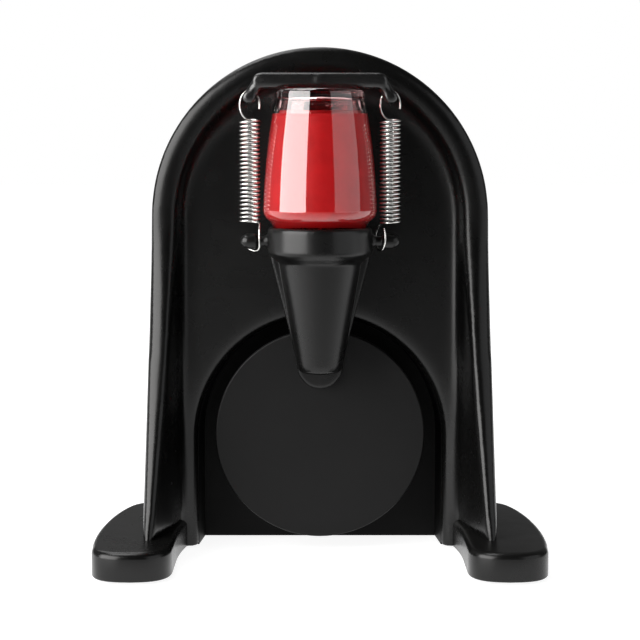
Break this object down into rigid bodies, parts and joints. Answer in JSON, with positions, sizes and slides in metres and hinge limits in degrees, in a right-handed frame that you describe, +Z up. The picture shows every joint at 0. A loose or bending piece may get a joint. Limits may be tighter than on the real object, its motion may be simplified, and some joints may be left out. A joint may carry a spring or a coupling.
{
  "type": "nail polish shaker",
  "caption": "Arch-shaped desktop machine that shakes a bottle of nail polish held upside down in a sprung holder",
  "frame": {"origin": "middle of the footprint, on the table", "axes": "+X to the viewer's right, +Y to the back, +Z up"},
  "size_m": [0.142, 0.087, 0.163],
  "materials": {
    "housing": "satin moulded black",
    "foot_pads": "matte",
    "rear_cover": "fine moulded texture",
    "cover_screws": "zinc plated",
    "battery_tray": "moulded",
    "cells": "plain sleeve",
    "contacts": "nickel plated",
    "battery_door": "moulded",
    "door_screw": "zinc plated",
    "switch_body": "smooth",
    "rocker": "smooth red",
    "motor": "plated can",
    "motor_plate": "plated",
    "plate_screws": "zinc plated",
    "motor_shaft": "ground",
    "pinion": "machined",
    "middle_gear": "natural nylon",
    "gear_pin": "ground",
    "bushes": "sintered bronze",
    "crank": "turned",
    "counterweight": "plain",
    "crank_gear": "natural nylon",
    "idler_left": "turned",
    "idler_right": "turned",
    "clip_left": "blackened",
    "clip_right": "blackened",
    "carrier": "moulded",
    "disc": "fine satin",
    "holder": "satin gloss",
    "head_screws": "zinc plated",
    "bottle": "clear pressed glass",
    "polish": "wet red lacquer",
    "cap": "smooth",
    "brush": "nylon",
    "spring_left": "bright spring wire",
    "spring_right": "bright spring wire",
    "bail": "satin gloss"
  },
  "bodies": {
    "base": {"housing": "housing", "foot_right": "housing", "foot_left": "housing", "drive_frame": "housing", "shell": "housing", "foot_pads": "foot_pads", "rear_cover": "rear_cover", "cover_screws": "cover_screws", "battery_tray": "battery_tray", "cells": "cells", "contacts": "contacts", "battery_door": "battery_door", "door_screw": "door_screw", "switch_body": "switch_body", "motor": "motor", "motor_plate": "motor_plate", "plate_screws": "plate_screws", "gear_pin": "gear_pin", "bushes": "bushes"},
    "crank_shaft": {"crank": "crank", "counterweight": "counterweight", "crank_gear": "crank_gear"},
    "left_idler": {"idler_left": "idler_left", "clip_left": "clip_left"},
    "right_idler": {"idler_right": "idler_right", "clip_right": "clip_right"},
    "middle_wheel": {"middle_gear": "middle_gear"},
    "rotor": {"motor_shaft": "motor_shaft", "pinion": "pinion"},
    "head": {"carrier": "carrier", "disc": "disc", "holder": "holder", "head_screws": "head_screws", "bottle": "bottle", "polish": "polish", "cap": "cap", "brush": "brush"},
    "spring_pair": {"spring_left": "spring_left", "spring_right": "spring_right"},
    "bail_bar": {"bail": "bail"},
    "switch_rocker": {"rocker": "rocker"}
  },
  "joints": [
    {"name": "crank_turn", "type": "hinge", "parent": "base", "child": "crank_shaft", "pos_m": [0, 0.00605, 0.0368], "axis": [0, 1, 0], "continuous": true},
    {"name": "head_shake", "type": "hinge", "parent": "crank_shaft", "child": "head", "pos_m": [0, 0.00605, 0.0388], "axis": [0, 1, 0], "continuous": true},
    {"name": "idler_left_turn", "type": "hinge", "parent": "base", "child": "left_idler", "pos_m": [-0.018, 0.00605, 0.0248], "axis": [0, 1, 0], "continuous": true},
    {"name": "idler_right_turn", "type": "hinge", "parent": "base", "child": "right_idler", "pos_m": [0.018, 0.00605, 0.0248], "axis": [0, 1, 0], "continuous": true},
    {"name": "middle_gear_turn", "type": "hinge", "parent": "base", "child": "middle_wheel", "pos_m": [0, 0.00605, 0.0744], "axis": [0, 1, 0], "continuous": true},
    {"name": "motor_turn", "type": "hinge", "parent": "base", "child": "rotor", "pos_m": [0, 0.00605, 0.0928], "axis": [0, 1, 0], "continuous": true},
    {"name": "bail_swing", "type": "hinge", "parent": "head", "child": "spring_pair", "pos_m": [0, -0.01445, 0.1023], "axis": [1, 0, 0], "range_deg": [0, 90]},
    {"name": "bail_stretch", "type": "slide", "parent": "spring_pair", "child": "bail_bar", "axis": [0, 0, 1], "range_m": [0, 0.0106], "deforming": ["spring_left", "spring_right"]},
    {"name": "rocker_press", "type": "hinge", "parent": "base", "child": "switch_rocker", "pos_m": [0.031, 0.03955, 0.088], "axis": [0, 0, 1], "range_deg": [-16, 0]}
  ],
  "couplings": [
    {"joint": "head_shake", "follows": "crank_turn", "ratio": -1},
    {"joint": "idler_left_turn", "follows": "crank_turn", "ratio": 1},
    {"joint": "idler_right_turn", "follows": "crank_turn", "ratio": 1},
    {"joint": "middle_gear_turn", "follows": "crank_turn", "ratio": -1.9375},
    {"joint": "motor_turn", "follows": "crank_turn", "ratio": 4.4286},
    {"joint": "bail_stretch", "follows": "bail_swing", "m_per_rad": 0.00659}
  ]
}
